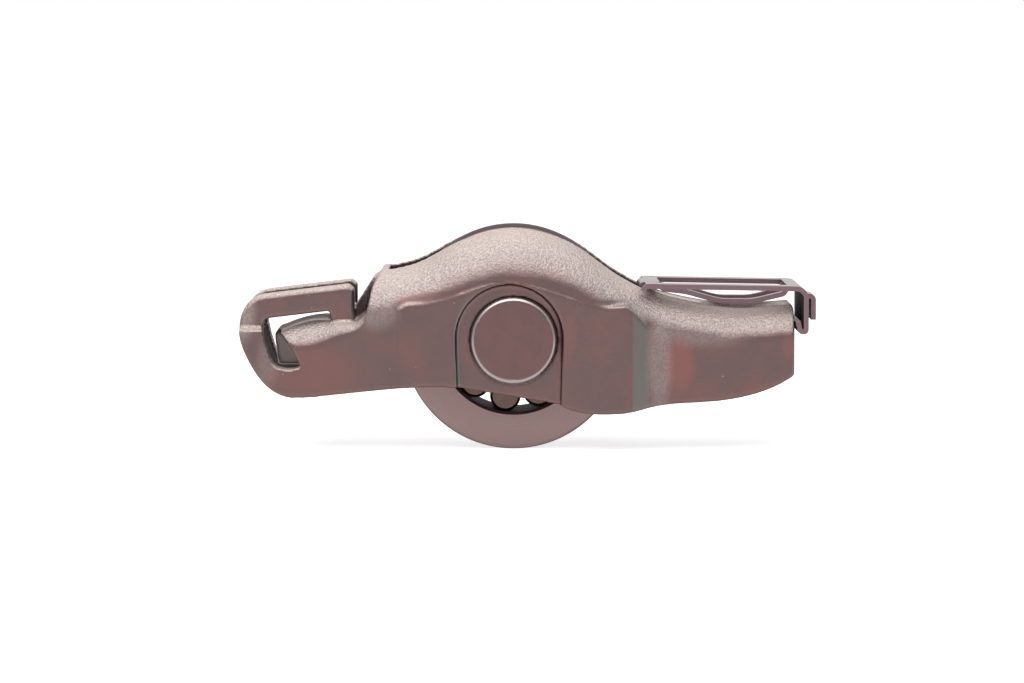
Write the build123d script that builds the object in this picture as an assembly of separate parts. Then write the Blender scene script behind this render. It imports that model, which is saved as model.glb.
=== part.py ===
from build123d import *
import math
import os

os.makedirs("parts", exist_ok=True)

# Roller finger follower: a stamped sheet-steel channel with a needle-bearing roller on a
# staked pin, a guided valve pallet at one end and a sprung lash-adjuster socket at the other.
# Frame: millimetres, origin on the roller axis at mid width, +X to the socket end,
# +Y across the arm, +Z to the side where the valve and the lash adjuster sit.

# ---------------------------------------------------------------- driving dimensions
# Roller bearing
roller_diameter = 20.6
roller_width = 8.1
roller_edge = 0.35              # rounding of the rolling edges
race_chamfer = 0.55             # lead-in chamfer at the mouth of the raceway
axle_diameter = 8.0
axle_rim = 0.45                 # rounding of the axle ends
axle_fit = 0.01                 # radial gap of the axle in the bores of the walls
axle_proud = 0.8                # height of the axle end above its recess
needle_diameter = 2.85
needle_end = 0.25               # chamfer of the needle ends
needle_clearance = 0.02         # radial running clearance, once at each side of the needles
needle_side_play = 0.3          # shortfall of the needles at each end of the raceway
needle_gap = 0.16               # room between neighbouring needles
needle_turn = 8.0               # degrees, place of the first needle from straight down
thrust_gap = 0.25               # roller face to the boss on each wall

# Sheet and main places along the arm
sheet = 2.6
pallet_distance = 18.85         # roller axis to the middle of the valve pallet
socket_distance = 21.3          # roller axis to the lash-adjuster socket
socket_overhang = 4.55          # socket to the end of the arm
slot_room_valve = 1.2           # roller to the slot's end, valve side
slot_room_socket = 1.8          # roller to the slot's end, socket side
slot_side_room = 0.4            # roller face to the slot's side
step_land = 1.7                 # slot's end to the steep step down to the pallet

# Heights of the web's outer face and the rounded shoulders
hump_radius = 10.65             # crown of the web round the roller
web_valve = 1.62
web_socket = 2.8
shoulder_hump = 5.4
shoulder_valve = 2.5
shoulder_socket = 3.0

# Side walls
recess_depth = 1.0              # arch pressed in round the axle
recess_radius = 4.95
coin_height = 0.08              # coined pad stands this far off the wall
coin_ramp = 1.6                 # length of the slope where the pad falls to the socket end
socket_half_width = 7.0
wall_depth_valve = 5.4          # lowest edge of the walls below the axis
wall_depth_socket = 6.83

# Valve end
guide_gap = 6.2                 # between the two hooks, for the valve stem tip
guide_joggle = 0.9              # hooks lie this far inside the walls
hook_reach = 6.45               # pallet to the far side of the hooks' bend
hook_end = 4.15                 # pallet to the free ends of the hooks
hook_height = 5.1               # free ends of the hooks above the axis
hook_slope = 0.12               # fall of the hooks toward their bend, for each millimetre
hook_bar = 2.23                 # height of the hooks' upper bar
hook_rim = 0.45                 # rounding of the upper bar's outer edge
hook_corner = 0.5               # corner cut off the free ends
ledge_height = 0.88             # where the hooks step inward from the walls
ledge_rise = 0.15
pallet_width = 5.8
pallet_heel = 1.75              # pallet's ends from the middle of the valve's contact
pallet_toe = 2.45
pallet_height = 0.27            # heel of the pallet above the web
pallet_fall = 0.95              # heel of the pallet above its toe
pallet_crown = 10.0             # radius of the crowned pallet
nose_reach = 0.85               # down-turned nose of the web beyond the pallet's toe

# Lash-adjuster socket
socket_radius = 4.2             # ball radius of the socket
socket_depth = 2.4
socket_wall = 1.9               # drawn wall under the socket

# Retaining clip
clip_sheet = 0.45
clip_half_width = 7.0
clip_rail = 2.5
clip_height = 4.92              # top of the plate above the axis, at the socket end
clip_rise = 0.25                # plate's rise toward its hooked end
clip_seat = 0.05                # gap of a face that only rests on another
clip_leg = 1.05                 # end of the arm to the clip's downward leg
clip_foot = 0.7                 # foot of the leg above the axis, where the lip turns in
lip_reach = 0.55                # lip's turn toward the arm
lip_rise = 1.0                  # free edge of the lip above the foot
lip_gap = 0.3                   # end of the arm to the lip's free edge
tab_width = 0.9                 # down-turned corners of the hooked end
tab_drop = 0.45
crossbar = 1.4                  # plate left at the hooked end beside the window
leaf_width = 1.2
leaf_drop = 0.45                # leaves start this far under the plate
leaf_bow = 1.33                 # depth of the bowed leaves under the plate
neck_gap = 4.9                  # between the two bowed leaves
lug_width = 4.0
lug_reach = 1.0                 # lug beyond the leg
lug_top = 3.75
lug_height = 2.2

# ---------------------------------------------------------------- places worked out
roller_radius = roller_diameter / 2
axle_radius = axle_diameter / 2
needle_radius = needle_diameter / 2
pitch_radius = axle_radius + needle_clearance + needle_radius
race_radius = pitch_radius + needle_radius + needle_clearance
needle_step = 2 * math.asin((needle_radius + needle_gap / 2) / pitch_radius)
needle_count = int(2 * math.pi / needle_step)

boss_face = roller_width / 2 + thrust_gap
recess_floor = boss_face + sheet
wall_half = recess_floor + recess_depth
hump_half = wall_half - coin_height
hook_inner = guide_gap / 2
hook_outer = hook_inner + sheet
valve_half = hook_outer + guide_joggle

pallet_x = -pallet_distance
socket_x = socket_distance
end_x = socket_x + socket_overhang
slot_valve = -(roller_radius + slot_room_valve)
slot_socket = roller_radius + slot_room_socket
slot_half = roller_width / 2 + slot_side_room
step_x = slot_valve - step_land
below = -3 * wall_depth_socket  # well under the walls, where every blank starts


# ---------------------------------------------------------------- shared shapes
def ring_round_y(outer, inner, half_length):
    """Plain ring or rod about the roller axis."""
    face = Circle(outer)
    if inner > 0:
        face -= Circle(inner)
    return extrude(Plane.XZ * face, half_length, both=True)


def plate_xz(face, low, high):
    """Side-view face made solid between two distances from the mid plane, on the +Y side."""
    return extrude(Plane.XZ.offset(-low) * face, high - low, dir=(0, 1, 0))


def both_sides(solid):
    """The solid and its mirror image across the mid plane."""
    return solid + mirror(solid, Plane.XZ)


def channel_section(x, half, crown, shoulder):
    """Upside-down U outline, filled, across the arm at x."""
    bend = shoulder * (1 - math.cos(math.radians(45)))
    outline = Wire([
        Line((-half, below), (half, below)),
        Line((half, below), (half, crown - shoulder)),
        ThreePointArc((half, crown - shoulder), (half - bend, crown - bend), (half - shoulder, crown)),
        Line((half - shoulder, crown), (shoulder - half, crown)),
        ThreePointArc((shoulder - half, crown), (bend - half, crown - bend), (-half, crown - shoulder)),
        Line((-half, crown - shoulder), (-half, below)),
    ])
    return Plane.YZ.offset(x) * Face(outline)


# ---------------------------------------------------------------- arm
def hump(x):
    """Height of the round crown over the roller."""
    return math.sqrt(hump_radius**2 - x**2)


def widen(share):
    """Half width between the valve end and the hump."""
    return valve_half + share * (hump_half - valve_half)


# Guide rows of the outer skin: place, half width, height of the crown, shoulder radius.
skin_rows = [
    (step_x - 3.0, widen(0.4), web_valve + 4.6, shoulder_hump - 1.5),
    (slot_valve, widen(0.9), web_valve + 4.9, shoulder_hump - 1.2),
    (-0.8 * hump_radius, widen(1.0), hump(0.72 * hump_radius), shoulder_hump - 0.7),
    (-0.5 * hump_radius, widen(1.0), hump(0.5 * hump_radius), shoulder_hump - 0.2),
    (0, widen(1.0), hump_radius, shoulder_hump),
    (0.5 * hump_radius, widen(1.0), hump(0.5 * hump_radius), shoulder_hump - 0.3),
    (slot_socket - 3.5, widen(1.0), web_socket + 3.9, shoulder_socket + 1.4),
    (slot_socket + 0.3, socket_half_width + 0.2, web_socket + 1.7, shoulder_socket + 0.4),
    (slot_socket + 3.5, socket_half_width, web_socket + 0.7, shoulder_socket + 0.1),
    (socket_x - 1.0, socket_half_width, web_socket, shoulder_socket),
    (end_x, socket_half_width, web_socket + 0.25, shoulder_socket),
]


def row_at(rows, x):
    """The guide rows read at x, eased smoothly from each row to the next."""
    slopes = []
    for k in range(len(rows)):
        before = rows[max(k - 1, 0)]
        after = rows[min(k + 1, len(rows) - 1)]
        slopes.append([(b - a) / (after[0] - before[0]) for a, b in zip(before, after)])
    k = max(i for i in range(len(rows) - 1) if rows[i][0] <= x or i == 0)
    gap = rows[k + 1][0] - rows[k][0]
    t = (x - rows[k][0]) / gap
    start = (1 + 2 * t) * (1 - t) ** 2
    leave = t * (1 - t) ** 2 * gap
    end = t**2 * (3 - 2 * t)
    arrive = t**2 * (t - 1) * gap
    near, far = rows[k], rows[k + 1]
    return [
        start * near[c] + leave * slopes[k][c] + end * far[c] + arrive * slopes[k + 1][c]
        for c in (1, 2, 3)
    ]


def under(rows, x):
    """Height of the inner skin at x: one sheet below the nearest of the outer skin."""
    steps = [sheet * k / 10 for k in range(-9, 10)]
    reach = [d for d in steps if rows[0][0] <= x + d <= rows[-1][0]]
    return min(row_at(rows, x + d)[1] - math.sqrt(sheet**2 - d**2) for d in reach)


def skin_loft(rows, count, inner):
    """Filled skin through evenly spaced sections; inner gives the hollow under the sheet."""
    sections = []
    for k in range(count + 1):
        x = rows[0][0] + (rows[-1][0] - rows[0][0]) * k / count
        half, crown, shoulder = row_at(rows, x)
        if inner:
            half, crown, shoulder = half - sheet, under(rows, x), max(shoulder - sheet, 0.5)
        sections.append(channel_section(x, half, crown, shoulder))
    return loft(sections)


# Guide rows of the low web that carries the pallet, in the same order.
pallet_rows = [
    (pallet_x - 4.0, widen(0.0), web_valve - 1.75, shoulder_valve - 1.0),
    (pallet_x - 2.0, widen(0.0), web_valve - 0.7, shoulder_valve - 0.5),
    (pallet_x + 0.4, widen(0.02), web_valve, shoulder_valve),
    ((pallet_x + step_x) / 2, widen(0.3), web_valve - 0.05, shoulder_valve - 1.1),
    (step_x - 1.2, widen(0.55), web_valve, shoulder_valve - 1.7),
    (step_x, widen(0.75), web_valve + 1.0, shoulder_valve - 1.7),
    (step_x + 1.2, widen(0.85), web_valve + 1.6, shoulder_valve - 1.7),
    (slot_valve + 2.0, widen(1.0), web_valve + 1.8, shoulder_valve - 1.7),
]

# The tall part of the skin ends at a steep, softly bent step above the low web.
step_line = [
    (step_x + 1.3, web_valve + 6.0),
    (step_x + 0.95, web_valve + 4.6),
    (step_x + 0.25, web_valve + 3.3),
    (step_x - 0.15, web_valve + 1.6),
    (step_x - 0.5, web_valve + 0.3),
    (step_x - 0.6, web_valve - 0.6),
]
step_cut = Face(Wire([
    Spline(*step_line),
    Line(step_line[-1], (step_line[-1][0], below)),
    Line((step_line[-1][0], below), (4 * pallet_x, below)),
    Line((4 * pallet_x, below), (4 * pallet_x, step_line[0][1])),
    Line((4 * pallet_x, step_line[0][1]), step_line[0]),
]))
tall = skin_loft(skin_rows, 20, False) - plate_xz(step_cut, -2 * wall_half, 2 * wall_half)
low = skin_loft(pallet_rows, 16, False)
skin = tall + low

# Ramp of the web between the hooks, prouder than the shoulders beside it.
ramp_foot = step_x - 2.1
ramp = Face(Polyline(
    (ramp_foot - 0.6, web_valve - 1.0),
    (ramp_foot, web_valve - 0.15),
    (ramp_foot + 0.6, web_valve + 1.3),
    (step_x + 0.3, web_valve + 4.1),
    (slot_valve + 0.3, web_valve + 4.5),
    (slot_valve + 0.3, web_valve + 1.5),
    (step_x, web_valve - 1.0),
    close=True,
).wire())
skin += plate_xz(ramp, -pallet_width / 2, pallet_width / 2)

# Hollow under the sheet, kept one sheet away from the step.
tall_hollow = skin_loft(skin_rows, 20, True)
tall_hollow &= Pos((step_x + sheet + end_x + 5) / 2, 0, 0) * Box(end_x + 5 - step_x - sheet, 40, 120)
skin -= tall_hollow
skin -= skin_loft(pallet_rows, 16, True)

# Drawn cup under the lash-adjuster socket.
ball_z = web_socket - socket_depth + socket_radius
cup = Pos(socket_x, 0, ball_z) * Sphere(socket_radius + socket_wall)
cup_top = web_socket - sheet / 2
cup_half = socket_half_width - sheet / 2
cup &= Pos(socket_x, 0, cup_top - 10) * Box(2 * (socket_overhang - 0.05), 2 * cup_half, 20)
skin += cup
skin -= Pos(socket_x, 0, ball_z) * Sphere(socket_radius)

# Coined pads on the walls round the axle; the socket side falls away in a short slope.
pad_left = slot_valve + 1.0
pad_right = slot_socket - 1.2
pad_top = hump_radius - shoulder_hump - 0.1
pad_corner = pad_top - 1.8
pad = Face(Wire([
    Line((pad_left, below / 2), (pad_left, pad_corner - 0.7)),
    RadiusArc((pad_left, pad_corner - 0.7), (pad_left + 1.0, pad_corner), 1.1),
    Spline(
        (pad_left + 1.0, pad_corner),
        (pad_left + 3.0, pad_corner + 0.1),
        (-0.46 * pad_right, pad_top - 1.0),
        (-0.24 * pad_right, pad_top - 0.2),
        (0, pad_top),
        (0.4 * pad_right, pad_top - 1.0),
        (0.65 * pad_right, pad_corner - 0.1),
        (pad_right - 0.6, pad_corner - 0.1),
    ),
    RadiusArc((pad_right - 0.6, pad_corner - 0.1), (pad_right + coin_ramp, pad_corner - 3.5), 4.5),
    Line((pad_right + coin_ramp, pad_corner - 3.5), (pad_right + coin_ramp, below / 2)),
    Line((pad_right + coin_ramp, below / 2), (pad_left, below / 2)),
]))
pad_plan = Face(Polyline(
    (pad_left, hump_half - sheet / 2),
    (pad_left, wall_half),
    (pad_right, wall_half),
    (pad_right + coin_ramp, socket_half_width + 0.15),
    (pad_right + coin_ramp, hump_half - sheet / 2),
    close=True,
).wire())
pads = plate_xz(pad, hump_half - sheet / 2, wall_half)
pads &= extrude(pad_plan, 2 * wall_depth_socket, both=True)
skin += both_sides(pads)

# Arch pressed inward round the axle: a recess outside and a thrust boss inside.
arch_x = -0.4
arch_z = 0.2
arch_foot = recess_radius - 0.35
arch = Face(Wire([
    Line((arch_x - arch_foot, below / 2), (arch_x - recess_radius, arch_z)),
    ThreePointArc(
        (arch_x - recess_radius, arch_z),
        (arch_x, arch_z + recess_radius),
        (arch_x + recess_radius, arch_z),
    ),
    Line((arch_x + recess_radius, arch_z), (arch_x + arch_foot, below / 2)),
    Line((arch_x + arch_foot, below / 2), (arch_x - arch_foot, below / 2)),
]))
skin += both_sides(plate_xz(arch, boss_face, hump_half - sheet / 2))
skin -= both_sides(plate_xz(arch, recess_floor, wall_half + 1))

# Side outline: walls trimmed to their lower edge and to the slanted open end at the pallet.
foot_valve = -wall_depth_valve
foot_socket = -wall_depth_socket
mouth_x = pallet_x - 0.75       # lower end of the slant, where the hooks part from the walls
mouth_z = foot_valve + 2.85
outline = Face(Wire([
    Line((mouth_x, mouth_z), (mouth_x, foot_valve)),
    Spline(
        (mouth_x, foot_valve),
        (pallet_x + 3.9, foot_valve + 0.5),
        (slot_valve + 2.0, foot_valve + 1.04),
        (arch_x - arch_foot - 0.3, foot_valve + 1.04),
    ),
    Line((arch_x - arch_foot - 0.3, foot_valve + 1.04), (arch_x + arch_foot, foot_socket + 0.9)),
    Spline(
        (arch_x + arch_foot, foot_socket + 0.9),
        (6.1, foot_socket + 0.2),
        (8.7, foot_socket),
        (slot_socket - 1.2, foot_socket + 0.2),
        (slot_socket + 1.0, foot_socket + 0.7),
        (socket_x - 2.9, foot_socket + 1.15),
        (socket_x - 0.5, foot_socket + 1.5),
        (end_x, foot_socket + 3.57),
    ),
    Line((end_x, foot_socket + 3.57), (end_x, 3 * hump_radius)),
    Line((end_x, 3 * hump_radius), (pallet_x - 2.9, 3 * hump_radius)),
    Line((pallet_x - 2.9, 3 * hump_radius), (pallet_x - 2.9, web_valve - 1.0)),
    Spline((pallet_x - 2.9, web_valve - 1.0), (pallet_x - 1.85, web_valve - 2.1), (mouth_x, mouth_z)),
]))
skin &= plate_xz(outline, -2 * wall_half, 2 * wall_half)

# Slot for the roller and the bore for its axle.
slot_long = slot_socket - slot_valve
slot_mid = (slot_socket + slot_valve) / 2
skin -= Pos(slot_mid, 0, hump_radius) * Box(slot_long, 2 * slot_half, 2 * hump_radius)

# Crowned pallet for the valve stem tip, and the web's down-turned nose beyond it.
heel = (pallet_x + pallet_heel, web_valve + pallet_height)
toe = (pallet_x - pallet_toe, web_valve + pallet_height - pallet_fall)
pallet = Face(Wire([
    Line((heel[0], web_valve - 1), heel),
    RadiusArc(heel, toe, -pallet_crown),
    Line(toe, (toe[0], web_valve - 2)),
    Line((toe[0], web_valve - 2), (heel[0], web_valve - 1)),
]))
nose_tip = (toe[0] - nose_reach, toe[1] - nose_reach)
nose_back = toe[0] - nose_reach + sheet
nose = Face(Wire([
    Line((nose_back, toe[1] - 1), (toe[0] + 0.8, toe[1] - 0.2)),
    Line((toe[0] + 0.8, toe[1] - 0.2), toe),
    RadiusArc(toe, nose_tip, -nose_reach),
    Line(nose_tip, (nose_tip[0] + 0.3, mouth_z)),
    Line((nose_tip[0] + 0.3, mouth_z), (nose_back, mouth_z)),
    Line((nose_back, mouth_z), (nose_back, toe[1] - 1)),
]))
skin += plate_xz(pallet, -pallet_width / 2, pallet_width / 2)
skin += plate_xz(nose, -pallet_width / 2, pallet_width / 2)


# Hooks: the walls run on past the pallet, turn up and come back over it as guide cheeks.
def bar_top(x):
    """Height of the hooks' upper bar at x."""
    return hook_height - hook_slope * (pallet_x + hook_end - x)


bend_x = pallet_x - hook_reach
bar_end = pallet_x + hook_end
bar_bend = pallet_x - 0.63 * hook_reach
toe_x = pallet_x - 0.55 * hook_reach
cheek_x = pallet_x + 0.45 * hook_end
cheek_foot = web_valve + 0.2
slot_x = pallet_x - 0.66 * hook_reach
hook_outline = Face(Wire([
    Line((mouth_x + 1.5, mouth_z), (mouth_x + 1.5, foot_valve + 0.1)),
    Line((mouth_x + 1.5, foot_valve + 0.1), (mouth_x - 0.9, foot_valve)),
    Spline(
        (mouth_x - 0.9, foot_valve),
        (toe_x, foot_valve + 0.8),
        (bend_x + 0.9, foot_valve + 3.4),
        (bend_x, ledge_height + 0.3),
        (bend_x + 0.6, bar_top(bend_x) - 0.75),
        (bar_bend, bar_top(bar_bend)),
    ),
    Line((bar_bend, bar_top(bar_bend)), (bar_end - hook_corner, bar_top(bar_end - hook_corner))),
    Line((bar_end - hook_corner, bar_top(bar_end - hook_corner)), (bar_end, hook_height - hook_corner)),
    Line((bar_end, hook_height - hook_corner), (bar_end, cheek_foot)),
    Line((bar_end, cheek_foot), (cheek_x + 0.2, cheek_foot)),
    Line((cheek_x + 0.2, cheek_foot), (cheek_x, bar_top(cheek_x) - hook_bar)),
    Line((cheek_x, bar_top(cheek_x) - hook_bar), (slot_x + 0.6, bar_top(slot_x + 0.6) - hook_bar)),
    Spline(
        (slot_x + 0.6, bar_top(slot_x + 0.6) - hook_bar),
        (slot_x + 0.05, bar_top(slot_x) - hook_bar - 0.3),
        (slot_x, ledge_height - 0.2),
        (slot_x + 0.5, mouth_z + 1.3),
        (slot_x + 1.15, mouth_z + 0.1),
        (slot_x + 2.3, mouth_z - 0.2),
        (mouth_x, mouth_z),
    ),
    Line((mouth_x, mouth_z), (mouth_x + 1.5, mouth_z)),
]))
joggle = Face(Polyline(
    (valve_half, below),
    (valve_half, ledge_height),
    (hook_outer, ledge_height + ledge_rise),
    (hook_outer, 3 * hook_height),
    (hook_inner, 3 * hook_height),
    (hook_inner, ledge_height),
    (valve_half - sheet, ledge_height - ledge_rise),
    (valve_half - sheet, below),
    close=True,
).wire())
hook = plate_xz(hook_outline, hook_inner - 1, valve_half + 1)
hook &= extrude(Plane.YZ.offset(2 * pallet_x) * joggle, 2 * pallet_distance, dir=(1, 0, 0))
cheek = hook.faces().filter_by(lambda f: abs(f.center().Y - hook_outer) < 0.01)[0]
rim = cheek.edges().filter_by(lambda e: e.center().Z > bar_top(e.center().X) - 0.9 * hook_bar)
hook = fillet(rim, hook_rim)
arm = skin + both_sides(hook)
arm -= ring_round_y(axle_radius + axle_fit, 0, 2 * wall_half)

# ---------------------------------------------------------------- roller bearing
axle = ring_round_y(axle_radius, 0, recess_floor + axle_proud)
axle = fillet(axle.edges().filter_by(GeomType.CIRCLE), axle_rim)

roller = ring_round_y(roller_radius, race_radius, roller_width / 2)
circles = roller.edges().filter_by(GeomType.CIRCLE)
roller = fillet(circles.filter_by(lambda e: e.radius > race_radius + 1), roller_edge)
circles = roller.edges().filter_by(GeomType.CIRCLE)
roller = chamfer(circles.filter_by(lambda e: e.radius < race_radius + 1), race_chamfer)

needle = ring_round_y(needle_radius, 0, roller_width / 2 - needle_side_play)
needle = chamfer(needle.edges().filter_by(GeomType.CIRCLE), needle_end)

# ---------------------------------------------------------------- retaining clip
plate_mid = clip_height - clip_sheet / 2
hook_x = slot_socket - clip_seat - clip_sheet / 2
leg_x = end_x + clip_leg
plate_path = FilletPolyline(
    (slot_socket + clip_seat, plate_mid + clip_rise),
    (leg_x, plate_mid),
    (leg_x, clip_foot),
    (leg_x - lip_reach, clip_foot + 0.1),
    (end_x + lip_gap, clip_foot + lip_rise),
    radius=(2 * clip_sheet, clip_sheet / 2, clip_sheet / 2),
)
clip = plate_xz(trace(plate_path, clip_sheet), -clip_half_width, clip_half_width)
tongue_path = FilletPolyline(
    (hook_x + 2.0, plate_mid + clip_rise),
    (hook_x, plate_mid + clip_rise),
    (hook_x, web_socket + 0.7),
    radius=clip_sheet / 2 + clip_seat,
)
tongue_half = slot_half - 0.6
clip += plate_xz(trace(tongue_path, clip_sheet), -tongue_half, tongue_half)
tab_path = FilletPolyline(
    (slot_socket - 0.25, plate_mid + clip_rise - tab_drop),
    (slot_socket + 0.15, plate_mid + clip_rise),
    (slot_socket + 1.2, plate_mid + clip_rise),
    radius=0.25,
)
tab = plate_xz(trace(tab_path, clip_sheet), clip_half_width - tab_width, clip_half_width)
clip += both_sides(tab)
window_left = slot_socket + crossbar
window_right = end_x - 0.6
window_mid = (window_left + window_right) / 2
window_half = clip_half_width - clip_rail
clip -= Pos(window_mid, 0, plate_mid) * Box(window_right - window_left, 2 * window_half, 4)
leaf_path = FilletPolyline(
    (window_left - 0.2, plate_mid + clip_rise),
    (window_left + 0.4, plate_mid + clip_rise - leaf_drop),
    (window_left + 2.5, plate_mid - leaf_drop),
    (window_mid - 0.2, plate_mid - leaf_bow),
    (window_mid + 2.8, plate_mid - leaf_bow),
    (window_right - 0.25, plate_mid - leaf_drop - 0.2),
    (window_right + 0.2, plate_mid),
    radius=(0.4, 5, 5, 5, 0.4),
)
leaf = plate_xz(trace(leaf_path, clip_sheet), neck_gap / 2, neck_gap / 2 + leaf_width)
clip += both_sides(leaf)
lug_path = FilletPolyline(
    (leg_x, lug_top),
    (leg_x + lug_reach, lug_top),
    (leg_x + lug_reach, lug_top - lug_height),
    radius=0.35,
)
clip += plate_xz(trace(lug_path, clip_sheet), -lug_width / 2, lug_width / 2)

# ---------------------------------------------------------------- write the pieces
export_step(arm, "parts/arm.step")
export_step(axle, "parts/axle.step")
export_step(roller, "parts/roller.step")
for k in range(needle_count):
    turn = 180 + needle_turn + 360 * k / needle_count
    placed = Rot(0, turn, 0) * Pos(0, 0, pitch_radius) * needle
    export_step(placed, f"parts/needle_{k + 1:02d}.step")
export_step(clip, "parts/clip.step")
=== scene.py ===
import math

import bpy
from mathutils import Matrix, Vector


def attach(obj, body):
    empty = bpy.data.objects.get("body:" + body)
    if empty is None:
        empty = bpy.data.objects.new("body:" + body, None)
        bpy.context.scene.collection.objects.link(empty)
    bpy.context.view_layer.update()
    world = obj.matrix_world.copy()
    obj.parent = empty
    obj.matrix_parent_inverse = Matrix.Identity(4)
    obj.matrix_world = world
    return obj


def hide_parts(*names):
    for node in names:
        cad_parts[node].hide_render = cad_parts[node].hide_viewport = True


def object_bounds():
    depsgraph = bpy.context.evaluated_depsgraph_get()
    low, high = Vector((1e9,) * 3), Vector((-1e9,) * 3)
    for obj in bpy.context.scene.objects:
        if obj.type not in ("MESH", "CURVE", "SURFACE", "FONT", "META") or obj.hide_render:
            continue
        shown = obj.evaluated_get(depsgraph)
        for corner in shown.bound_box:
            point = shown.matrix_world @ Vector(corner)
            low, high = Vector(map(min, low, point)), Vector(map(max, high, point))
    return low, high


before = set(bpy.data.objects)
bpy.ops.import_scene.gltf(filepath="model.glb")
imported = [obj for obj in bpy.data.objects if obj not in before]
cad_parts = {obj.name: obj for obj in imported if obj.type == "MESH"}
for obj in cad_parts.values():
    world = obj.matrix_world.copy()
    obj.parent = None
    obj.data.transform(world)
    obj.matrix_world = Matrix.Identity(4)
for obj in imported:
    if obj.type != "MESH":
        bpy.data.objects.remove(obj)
cad_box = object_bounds()

# Arm: one stamping of low-alloy case-hardening steel, pierced, drawn and folded into a channel.
# It is hardened, then tumbled with grit: rounded shoulders stay grainy, while the coined flats
# are smooth and stained red-brown by old oil. The shoulders are painted pale and the flats dark by
# which way each face turns: partly the grain and coining, partly painted light and shade.
mm = 0.001


def srgb(code):
    """Hex sRGB colour as linear RGBA."""
    channels = [int(code[k:k + 2], 16) / 255 for k in (0, 2, 4)]
    linear = [c / 12.92 if c <= 0.04045 else ((c + 0.055) / 1.055) ** 2.4 for c in channels]
    return (*linear, 1.0)


def new_material(name):
    """New node material and its tree, with no nodes in it yet."""
    made = bpy.data.materials.new(name)
    made.use_nodes = True
    made.node_tree.nodes.clear()
    return made, made.node_tree


def add(tree, kind, inputs=None, **settings):
    """Shader node of one kind, with its settings, and its inputs set or linked."""
    made = tree.nodes.new("ShaderNode" + kind)
    for name, value in settings.items():
        setattr(made, name, value)
    for name, value in (inputs or {}).items():
        if isinstance(value, bpy.types.NodeSocket):
            tree.links.new(value, made.inputs[name])
        else:
            made.inputs[name].default_value = value
    return made


# Places of a Mix node's colour sockets: its two inputs and its output.
first, second, mixed = 6, 7, 2


def softened(node, name, voxel, passes, kept):
    """Closed copy of a CAD solid with its sheared edges rounded, as tumbling leaves them.

    The work is done in millimetres, as voxel is, and the result is scaled back to metres.
    """
    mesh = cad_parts[node].data.copy()
    mesh.transform(Matrix.Scale(1 / mm, 4))
    work = bpy.data.objects.new(name + "_work", mesh)
    bpy.context.scene.collection.objects.link(work)
    remesh = work.modifiers.new("remesh", "REMESH")
    remesh.mode = "VOXEL"
    remesh.voxel_size = voxel
    remesh.use_smooth_shade = True
    smooth = work.modifiers.new("smooth", "SMOOTH")
    smooth.factor = 0.5
    smooth.iterations = passes
    thin = work.modifiers.new("thin", "DECIMATE")
    thin.ratio = kept
    bpy.context.view_layer.update()
    depsgraph = bpy.context.evaluated_depsgraph_get()
    result = bpy.data.meshes.new_from_object(work.evaluated_get(depsgraph))
    bpy.data.objects.remove(work)
    result.transform(Matrix.Scale(mm, 4))
    result.materials.clear()
    piece = bpy.data.objects.new(name, result)
    bpy.context.scene.collection.objects.link(piece)
    return piece


def spot(tree, sides, centre, reach):
    """Oval on the side walls: 1 in the middle, fading from 0.4 to 1.2 of its reach.

    Centre and reach are in millimetres, along the arm and up it.
    """
    across = add(tree, "MapRange", {
        "Value": sides.outputs["X"], "From Min": (centre[0] - reach[0]) * mm,
        "From Max": (centre[0] + reach[0]) * mm, "To Min": -1.0, "To Max": 1.0}, clamp=False)
    along = add(tree, "MapRange", {
        "Value": sides.outputs["Z"], "From Min": (centre[1] - reach[1]) * mm,
        "From Max": (centre[1] + reach[1]) * mm, "To Min": -1.0, "To Max": 1.0}, clamp=False)
    offset = add(tree, "CombineXYZ", {"X": across.outputs["Result"], "Z": along.outputs["Result"]})
    distance = add(tree, "VectorMath", {0: offset.outputs["Vector"]}, operation="LENGTH")
    return add(tree, "MapRange", {
        "Value": distance.outputs["Value"], "From Min": 0.4, "From Max": 1.2,
        "To Min": 1.0, "To Max": 0.0}, interpolation_type="SMOOTHSTEP")


arm = softened("arm", "arm_skin", voxel=0.16, passes=4, kept=0.6)
steel, tree = new_material("tumbled_case_hardened_steel")
place = add(tree, "TexCoord")
surface = add(tree, "NewGeometry")
facing = add(tree, "SeparateXYZ", {"Vector": surface.outputs["Normal"]})
grit_size = 0.2 * mm            # coarser than the real grain, so that it shows
grit = add(tree, "TexNoise", {
    "Vector": place.outputs["Object"], "Scale": 1 / grit_size, "Detail": 2.0, "Roughness": 0.6})
patch_size = 3.5 * mm
patch = add(tree, "TexNoise", {
    "Vector": place.outputs["Object"], "Scale": 1 / patch_size, "Detail": 4.0, "Roughness": 0.5})
wander = add(tree, "MapRange", {
    "Value": patch.outputs["Fac"], "From Min": 0.3, "From Max": 0.7,
    "To Min": -0.05, "To Max": 0.05})
tilt = add(tree, "Math", {0: facing.outputs["Z"], 1: wander.outputs["Result"]}, operation="ADD")
# Faces turned up take the pale grain colour and faces turned sideways the dark flat colour: partly
# the real finish, partly painted light on top and painted shade on the sides.
flat_and_side_shade = add(tree, "MapRange", {
    "Value": tilt.outputs[0], "From Min": 0.14, "From Max": 0.5, "To Min": 1.0, "To Max": 0.0})
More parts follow.
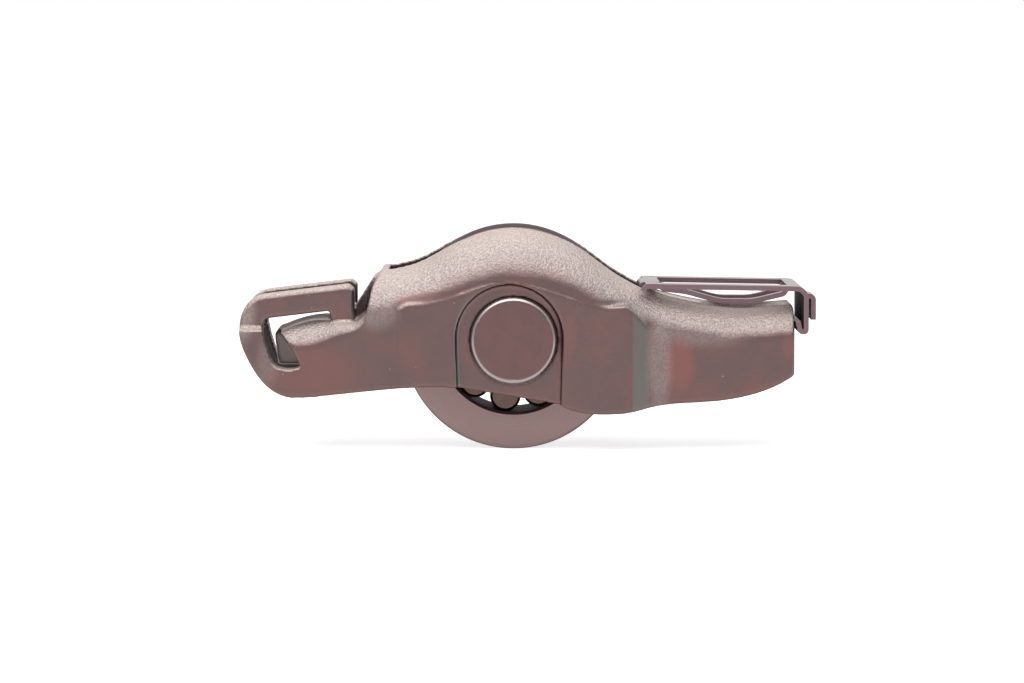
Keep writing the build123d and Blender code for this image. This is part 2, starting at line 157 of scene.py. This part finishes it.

# Ovals that shift the mix of grain and flat colour. Negative ones paint the pale grain colour
# further down the walls and at the valve end, painted light where shoulders and edges catch it;
# positive ones paint the pads' upper edges flat and dark, painted shade over their ridge highlight.
sides = add(tree, "SeparateXYZ", {"Vector": place.outputs["Object"]})
painted_light_and_shade_ovals = (
    ((13.4, -2.0), (1.3, 5.5), -0.3),
    ((-12.6, 2.8), (2.4, 2.0), -0.3),
    ((17.5, 0.8), (5.0, 1.6), -0.25),
    ((-8.0, 3.6), (3.4, 1.1), 0.6),
    ((9.5, 3.2), (2.2, 0.8), 0.5),
    ((-25.0, 2.4), (1.4, 2.8), -0.45),
    ((-22.6, -2.0), (1.2, 2.6), -0.18),
)
for centre, reach, painted_shift in painted_light_and_shade_ovals:
    oval = spot(tree, sides, centre, reach)
    change = add(tree, "Math", {0: oval.outputs["Result"], 1: painted_shift}, operation="MULTIPLY")
    flat_and_side_shade = add(tree, "Math", {0: flat_and_side_shade.outputs[0], 1: change.outputs[0]}, operation="ADD")
    flat_and_side_shade.use_clamp = True

# Old oil has left reddish stains on the flats, strongest beside the pads and at the ends.
stain = add(tree, "MapRange", {
    "Value": patch.outputs["Fac"], "From Min": 0.45, "From Max": 0.7,
    "To Min": 0.0, "To Max": 0.45})
stains = (
    ((15.3, -2.3), (1.6, 3.2), 1.0),
    ((25.3, -0.5), (0.7, 1.4), 0.7),
    ((-18.5, -3.0), (5.5, 3.2), 0.55),
    ((5.2, 0.5), (0.8, 2.5), 0.5),
)
for centre, reach, strength in stains:
    oval = spot(tree, sides, centre, reach)
    blot = add(tree, "Math", {0: oval.outputs["Result"], 1: strength}, operation="MULTIPLY")
    stain = add(tree, "Math", {0: stain.outputs[0], 1: blot.outputs[0]}, operation="MAXIMUM")
flat_colour = add(tree, "Mix", {
    "Factor": stain.outputs[0], first: srgb("766361"), second: srgb("8f6561")}, data_type="RGBA")

# Tiny pale specks are painted on: painted glints where pits and specks catch the light.
pit_spacing = 1.6 * mm
pits = add(tree, "TexVoronoi", {"Vector": place.outputs["Object"], "Scale": 1 / pit_spacing})
speck = add(tree, "MapRange", {
    "Value": pits.outputs["Distance"], "From Min": 0.03, "From Max": 0.07,
    "To Min": 0.6, "To Max": 0.0})
flat_colour = add(tree, "Mix", {
    "Factor": speck.outputs["Result"], first: flat_colour.outputs[mixed], second: srgb("b5aba6")},
    data_type="RGBA")

# Slopes that turn toward the socket end, such as the pads' right slopes, are greyer than the flats.
turned_to_socket = add(tree, "MapRange", {
    "Value": facing.outputs["X"], "From Min": 0.15, "From Max": 0.4})
flat_colour = add(tree, "Mix", {
    "Factor": turned_to_socket.outputs["Result"], first: flat_colour.outputs[mixed],
    second: srgb("7a7672")}, data_type="RGBA")

# Faces that turn down are painted darker and browner: painted shade on the undersides.
blanked_edge_and_underside_shade = add(tree, "MapRange", {
    "Value": facing.outputs["Z"], "From Min": -0.3, "From Max": -0.7,
    "To Min": 0.0, "To Max": 1.0})
flat_colour = add(tree, "Mix", {
    "Factor": blanked_edge_and_underside_shade.outputs["Result"], first: flat_colour.outputs[mixed],
    second: srgb("70504a")}, data_type="RGBA")

# Tumbled skin: speckled by the grit, and painted palest where faces turn up on top of the
# crown, a painted highlight.
speckle = add(tree, "MapRange", {"Value": grit.outputs["Fac"], "From Min": 0.38, "From Max": 0.62})
grain_colour = add(tree, "Mix", {
    "Factor": speckle.outputs["Result"], first: srgb("a99c98"), second: srgb("c6bab6")},
    data_type="RGBA")
crown_highlight = add(tree, "MapRange", {
    "Value": facing.outputs["Z"], "From Min": 0.5, "From Max": 0.95, "To Min": 0.0, "To Max": 0.6})
grain_colour = add(tree, "Mix", {
    "Factor": crown_highlight.outputs["Result"], first: grain_colour.outputs[mixed],
    second: srgb("dfd2ca")}, data_type="RGBA")
colour = add(tree, "Mix", {
    "Factor": flat_and_side_shade.outputs[0], first: grain_colour.outputs[mixed],
    second: flat_colour.outputs[mixed]}, data_type="RGBA")

# Inside the channel the skin is unpolished, and faces that don't turn up are painted dark:
# painted shade between the walls. The pallet is ground and polished.
inner_wall, well_inside = 5.4 * mm, 4.8 * mm
off_middle = add(tree, "Math", {0: sides.outputs["Y"]}, operation="ABSOLUTE")
inside = add(tree, "MapRange", {
    "Value": off_middle.outputs[0], "From Min": inner_wall, "From Max": well_inside,
    "To Min": 0.0, "To Max": 1.0})
turned_down = add(tree, "MapRange", {
    "Value": facing.outputs["Z"], "From Min": 0.4, "From Max": 0.1, "To Min": 0.0, "To Max": 1.0})
channel_shade = add(tree, "Math", {0: inside.outputs[0], 1: turned_down.outputs[0]}, operation="MULTIPLY")
colour = add(tree, "Mix", {
    "Factor": channel_shade.outputs[0], first: colour.outputs[mixed], second: srgb("54494a")},
    data_type="RGBA")
pallet_half, pallet_heel = 2.95 * mm, -16.8 * mm
on_pallet = add(tree, "Math", {0: off_middle.outputs[0], 1: pallet_half}, operation="LESS_THAN")
near_valve = add(tree, "Math", {0: sides.outputs["X"], 1: pallet_heel}, operation="LESS_THAN")
ground = add(tree, "Math", {
    0: on_pallet.outputs[0], 1: near_valve.outputs[0]}, operation="MULTIPLY")
colour = add(tree, "Mix", {
    "Factor": ground.outputs[0], first: colour.outputs[mixed], second: srgb("7d7472")},
    data_type="RGBA")
smooth = add(tree, "Math", {0: flat_and_side_shade.outputs[0], 1: ground.outputs[0]}, operation="MAXIMUM")
rough = add(tree, "MapRange", {"Value": smooth.outputs[0], "To Min": 0.62, "To Max": 0.4})
grain_depth = add(tree, "MapRange", {"Value": smooth.outputs[0], "To Min": 1.0, "To Max": 0.1})
grain_height = 0.14 * mm
bump = add(tree, "Bump", {
    "Height": grit.outputs["Fac"], "Strength": grain_depth.outputs["Result"],
    "Distance": grain_height})
shader = add(tree, "BsdfPrincipled", {
    "Base Color": colour.outputs[mixed], "Metallic": 1.0, "Roughness": rough.outputs["Result"],
    "Normal": bump.outputs["Normal"]})
add(tree, "OutputMaterial", {"Surface": shader.outputs["BSDF"]})
arm.data.materials.append(steel)
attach(arm, "arm_body")
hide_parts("arm")

# Axle pin: a hardened bearing-steel rod, turned and ground, staked in the two walls.
# Its end face is a dull stained disc inside a bright rolled-over rim.
def coat(name, material):
    """Give a CAD piece its material."""
    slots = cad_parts[name].data.materials
    slots.clear()
    slots.append(material)


pin_steel, tree = new_material("turned_bearing_steel")
place = add(tree, "TexCoord")
stain_size = 1.2 * mm
patch = add(tree, "TexNoise", {
    "Vector": place.outputs["Object"], "Scale": 1 / stain_size, "Detail": 4.0})
face_colour = add(tree, "Mix", {
    "Factor": patch.outputs["Fac"], first: srgb("705c5b"), second: srgb("80615f")},
    data_type="RGBA")
surface = add(tree, "NewGeometry")
facing = add(tree, "SeparateXYZ", {"Vector": surface.outputs["Normal"]})
across = add(tree, "Math", {0: facing.outputs["Y"]}, operation="ABSOLUTE")
face = add(tree, "MapRange", {"Value": across.outputs[0], "From Min": 0.94, "From Max": 0.99})
colour = add(tree, "Mix", {
    "Factor": face.outputs["Result"], first: srgb("aca3a1"), second: face_colour.outputs[mixed]},
    data_type="RGBA")
mark_size, mark_depth = 0.12 * mm, 0.01 * mm
marks = add(tree, "TexNoise", {
    "Vector": place.outputs["Object"], "Scale": 1 / mark_size, "Detail": 2.0})
bump = add(tree, "Bump", {
    "Height": marks.outputs["Fac"], "Strength": 0.25, "Distance": mark_depth})
shader = add(tree, "BsdfPrincipled", {
    "Base Color": colour.outputs[mixed], "Metallic": 1.0, "Roughness": 0.33,
    "Normal": bump.outputs["Normal"]})
add(tree, "OutputMaterial", {"Surface": shader.outputs["BSDF"]})
coat("axle", pin_steel)

# Cam roller: the bearing's outer ring, turned from hardened bearing steel and ground on its
# faces and tread. Grinding leaves fine rings round the faces, drawn coarser than they are so
# that they show.
roller_radius, race_radius, half_width = 10.3 * mm, 6.89 * mm, 4.05 * mm
round_over, lead_in = 0.35 * mm, 0.25 * mm

# Section of the ring from the middle of its raceway round one face to the tread; the other
# face mirrors it.
profile = [
    (race_radius, 0),
    (race_radius, half_width - lead_in),
    (race_radius + lead_in, half_width),
]
round_steps = 6
for k in range(round_steps + 1):
    turn = math.radians(90 * k / round_steps)
    profile.append((
        roller_radius - round_over * (1 - math.sin(turn)),
        half_width - round_over * (1 - math.cos(turn))))
profile += [(r, -y) for r, y in reversed(profile[1:])]
turns = 256
ring_points = [
    (r * math.cos(2 * math.pi * t / turns), y, r * math.sin(2 * math.pi * t / turns))
    for t in range(turns) for r, y in profile]
count = len(profile)
ring_faces = [
    (t * count + k, (t + 1) % turns * count + k,
     (t + 1) % turns * count + (k + 1) % count, t * count + (k + 1) % count)
    for t in range(turns) for k in range(count)]
ring_mesh = bpy.data.meshes.new("roller_ring")
ring_mesh.from_pydata(ring_points, [], ring_faces)
ring_mesh.shade_smooth()
ring_mesh.set_sharp_from_angle(angle=math.radians(30))
roller = bpy.data.objects.new("roller_ring", ring_mesh)
bpy.context.scene.collection.objects.link(roller)
ring_steel, tree = new_material("ground_bearing_steel")
place = add(tree, "TexCoord")
split = add(tree, "SeparateXYZ", {"Vector": place.outputs["Object"]})
squares = [
    add(tree, "Math", {0: split.outputs[axis], 1: 2.0}, operation="POWER") for axis in ("X", "Z")]
total = add(tree, "Math", {0: squares[0].outputs[0], 1: squares[1].outputs[0]}, operation="ADD")
radius = add(tree, "Math", {0: total.outputs[0], 1: 0.5}, operation="POWER")
ring_spacing, ring_depth = 0.1 * mm, 0.01 * mm
rings = add(tree, "TexNoise", {
    "W": radius.outputs[0], "Scale": 1 / ring_spacing, "Detail": 3.0}, noise_dimensions="1D")
face_colour = add(tree, "Mix", {
    "Factor": rings.outputs["Fac"], first: srgb("887370"), second: srgb("9a8380")},
    data_type="RGBA")
surface = add(tree, "NewGeometry")
facing = add(tree, "SeparateXYZ", {"Vector": surface.outputs["Normal"]})
across = add(tree, "Math", {0: facing.outputs["Y"]}, operation="ABSOLUTE")
face = add(tree, "MapRange", {"Value": across.outputs[0], "From Min": 0.3, "From Max": 0.8})
colour = add(tree, "Mix", {
    "Factor": face.outputs["Result"], first: srgb("8a7f82"), second: face_colour.outputs[mixed]},
    data_type="RGBA")
bump = add(tree, "Bump", {"Height": rings.outputs["Fac"], "Strength": 0.4, "Distance": ring_depth})
# The dark specular tint darkens the tread where it is seen edge-on: painted shade in its slot.
shader = add(tree, "BsdfPrincipled", {
    "Base Color": colour.outputs[mixed], "Metallic": 1.0, "Roughness": 0.34,
    "Specular Tint": srgb("8a7f84"), "Normal": bump.outputs["Normal"]})
add(tree, "OutputMaterial", {"Surface": shader.outputs["BSDF"]})
ring_mesh.materials.append(ring_steel)
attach(roller, "roller_body")
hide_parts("roller")

# Needles: drawn bearing-steel wire, ground and lapped bright, loose between axle and roller.
# They are coloured a mottled dark brown.
needle_steel, tree = new_material("lapped_bearing_steel")
place = add(tree, "TexCoord")
mottle_size = 0.8 * mm
mottle = add(tree, "TexNoise", {
    "Vector": place.outputs["Object"], "Scale": 1 / mottle_size, "Detail": 3.0})
colour = add(tree, "Mix", {
    "Factor": mottle.outputs["Fac"], first: srgb("6e5a54"), second: srgb("5f4c46")}, data_type="RGBA")
shader = add(tree, "BsdfPrincipled", {
    "Base Color": colour.outputs[mixed], "Metallic": 1.0, "Roughness": 0.25})
add(tree, "OutputMaterial", {"Surface": shader.outputs["BSDF"]})
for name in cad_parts:
    if name.startswith("needle_"):
        coat(name, needle_steel)

# Retaining clip: blanked and bent from spring-steel strip, snapped on over the socket.
# Rolled faces are smooth and pale; blanked edges are darker, and the inside of the leg is painted
# dark, painted shade between the leg and the arm's end.
spring_steel, tree = new_material("rolled_spring_steel")
place = add(tree, "TexCoord")
roll_size, roll_depth = 0.9 * mm, 0.02 * mm
roll = add(tree, "TexNoise", {
    "Vector": place.outputs["Object"], "Scale": 1 / roll_size, "Detail": 4.0})
rolled = add(tree, "Mix", {
    "Factor": roll.outputs["Fac"], first: srgb("bfb6b7"), second: srgb("d2cacb")}, data_type="RGBA")
surface = add(tree, "NewGeometry")
facing = add(tree, "SeparateXYZ", {"Vector": surface.outputs["Normal"]})
across = add(tree, "Math", {0: facing.outputs["Y"]}, operation="ABSOLUTE")
blanked_edge_and_underside_shade = add(tree, "MapRange", {"Value": across.outputs[0], "From Min": 0.8, "From Max": 0.95})
colour = add(tree, "Mix", {
    "Factor": blanked_edge_and_underside_shade.outputs["Result"], first: rolled.outputs[mixed], second: srgb("866f74")},
    data_type="RGBA")
# Faces turned toward the valve end, the inside of the leg, are painted dark and made rougher:
# painted shade between the leg and the arm's end.
inside = add(tree, "MapRange", {
    "Value": facing.outputs["X"], "From Min": -0.6, "From Max": -0.9,
    "To Min": 0.0, "To Max": 1.0})
colour = add(tree, "Mix", {
    "Factor": inside.outputs["Result"], first: colour.outputs[mixed], second: srgb("4c4846")},
    data_type="RGBA")
rough = add(tree, "MapRange", {"Value": inside.outputs["Result"], "To Min": 0.4, "To Max": 0.85})
bump = add(tree, "Bump", {"Height": roll.outputs["Fac"], "Strength": 0.2, "Distance": roll_depth})
shader = add(tree, "BsdfPrincipled", {
    "Base Color": colour.outputs[mixed], "Metallic": 1.0, "Roughness": rough.outputs["Result"],
    "Normal": bump.outputs["Normal"]})
add(tree, "OutputMaterial", {"Surface": shader.outputs["BSDF"]})
coat("clip", spring_steel)

# Studio: a floor of matt white paper that runs into the distance, under one large soft box.
# The camera sees floor and air as white; the metal sees them dimmer, as it would in a room
# whose walls are darker than its ceiling.
floor_size = 6.0
lowest = cad_box[0][2]
bpy.ops.mesh.primitive_plane_add(size=floor_size, location=(0, 0, lowest))
floor = bpy.context.object
floor.name = "floor"
paper, tree = new_material("matt_white_paper")
rays = add(tree, "LightPath")
seen = add(tree, "Math", {
    0: rays.outputs["Is Camera Ray"], 1: rays.outputs["Is Transmission Ray"]}, operation="ADD")

# Its own glow makes up what the lamp's light leaves short of white.
glow_seen, glow_mirrored = 0.75, 0.42
seen = add(tree, "Math", {0: seen.outputs[0], 1: glow_seen}, operation="MULTIPLY")
mirrored = add(tree, "Math", {
    0: rays.outputs["Is Glossy Ray"], 1: glow_mirrored}, operation="MULTIPLY")
glow = add(tree, "Math", {0: seen.outputs[0], 1: mirrored.outputs[0]}, operation="MAXIMUM")
shine = add(tree, "Emission", {"Color": srgb("ffffff"), "Strength": glow.outputs[0]})
matt = add(tree, "BsdfDiffuse", {"Color": srgb("f0f0f0")})
both = add(tree, "AddShader", {0: shine.outputs[0], 1: matt.outputs[0]})
add(tree, "OutputMaterial", {"Surface": both.outputs[0]})
floor.data.materials.append(paper)

# The room's air: white to the camera, a soft even light on the part, and for reflections
# bright overhead and dimmer toward the horizon.
world = bpy.data.worlds.new("studio_air")
bpy.context.scene.world = world
world.use_nodes = True
tree = world.node_tree
tree.nodes.clear()
rays = add(tree, "LightPath")
seen = add(tree, "Math", {
    0: rays.outputs["Is Camera Ray"], 1: rays.outputs["Is Transmission Ray"]}, operation="ADD")
direction = add(tree, "TexCoord")
brightest = (0.0, 0.1, 1.0)
above = add(tree, "VectorMath", {
    0: direction.outputs["Generated"], 1: brightest}, operation="DOT_PRODUCT")
dimmed = add(tree, "MapRange", {
    "Value": above.outputs["Value"], "From Min": -0.1, "From Max": 0.7,
    "To Min": 0.3, "To Max": 1.0})
mirrored = add(tree, "Background", {
    "Color": srgb("ffffff"), "Strength": dimmed.outputs["Result"]})
white = add(tree, "Background", {"Color": srgb("ffffff"), "Strength": 1.0})
room = add(tree, "Background", {"Color": srgb("ffffff"), "Strength": 0.45})
lit = add(tree, "MixShader", {
    0: rays.outputs["Is Glossy Ray"], 1: room.outputs[0], 2: mirrored.outputs[0]})
choose = add(tree, "MixShader", {0: seen.outputs[0], 1: lit.outputs[0], 2: white.outputs[0]})
add(tree, "OutputWorld", {"Surface": choose.outputs[0]})

# The soft box hangs above and in front of the part and points at its roller.
lamp = bpy.data.lights.new("top_box", "AREA")
lamp.size = 0.32
lamp.energy = 0.85
top_box = bpy.data.objects.new("top_box", lamp)
top_box.location = (-0.05, -0.19, 0.27)
top_box.rotation_euler = (-top_box.location).to_track_quat("-Z", "Y").to_euler()
bpy.context.scene.collection.objects.link(top_box)

# Camera: a long macro lens in front of the part, looking along the axle from a little above
# its level. It is aimed at the near wall.
view_distance = 0.4077
view_rise = math.radians(4.0)
aim = Vector((-0.14, -7.7, -0.08)) * mm
camera_data = bpy.data.cameras.new("camera")
camera = bpy.data.objects.new("camera", camera_data)
bpy.context.scene.collection.objects.link(camera)
camera.location = aim + view_distance * Vector((0, -math.cos(view_rise), math.sin(view_rise)))
camera.rotation_euler = (aim - camera.location).to_track_quat("-Z", "Y").to_euler()
pixels_per_mm = 10.9
frame_width = 1024
camera_data.sensor_width = 36.0
camera_data.lens = pixels_per_mm / mm * view_distance * camera_data.sensor_width / frame_width
camera_data.clip_start = 0.01
camera_data.clip_end = 20.0
bpy.context.scene.camera = camera
bpy.context.scene.view_settings.view_transform = "Standard"
